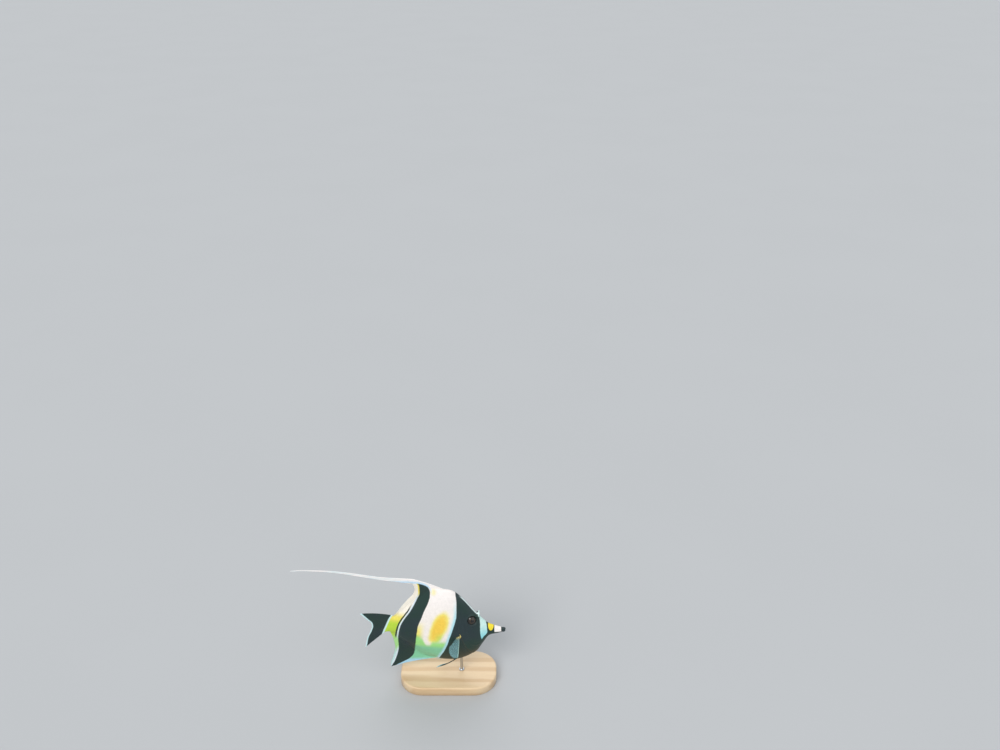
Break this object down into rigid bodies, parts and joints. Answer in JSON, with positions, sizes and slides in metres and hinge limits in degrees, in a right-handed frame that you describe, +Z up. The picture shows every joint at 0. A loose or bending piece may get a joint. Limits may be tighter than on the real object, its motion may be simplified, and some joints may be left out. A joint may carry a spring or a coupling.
{
  "type": "moorish idol fish model on a display stand",
  "caption": "Life-size moorish idol gliding with its fins spread and dorsal streamer trailing, held over a low rounded wooden base by a short steel rod under the belly.",
  "frame": {"origin": "middle of the underside of the stand's base", "axes": "+X the way the fish faces, +Y its left side, +Z up"},
  "size_m": [0.2658, 0.07, 0.1697],
  "materials": {
    "skin": "wet-look scaled skin, painted in white, yellow and black bands",
    "eye": "polished, dark",
    "fin": "satin, ridged along the rays",
    "streamer": "satin white",
    "clear_fin": "thin and translucent, ridged along the rays",
    "base": "pale maple, satin lacquer",
    "rod": "brushed"
  },
  "bodies": {
    "root": {"head": "skin", "trunk": "skin", "tail_stalk": "skin", "eye_left": "eye", "eye_right": "eye", "dorsal_fin": "fin", "dorsal_streamer": "streamer", "anal_fin": "fin", "caudal_fin": "fin", "pectoral_fin_left": "clear_fin", "pectoral_fin_right": "clear_fin", "pelvic_fin_left": "fin", "pelvic_fin_right": "fin", "stand_base": "base", "stand_rod": "rod"}
  },
  "joints": []
}
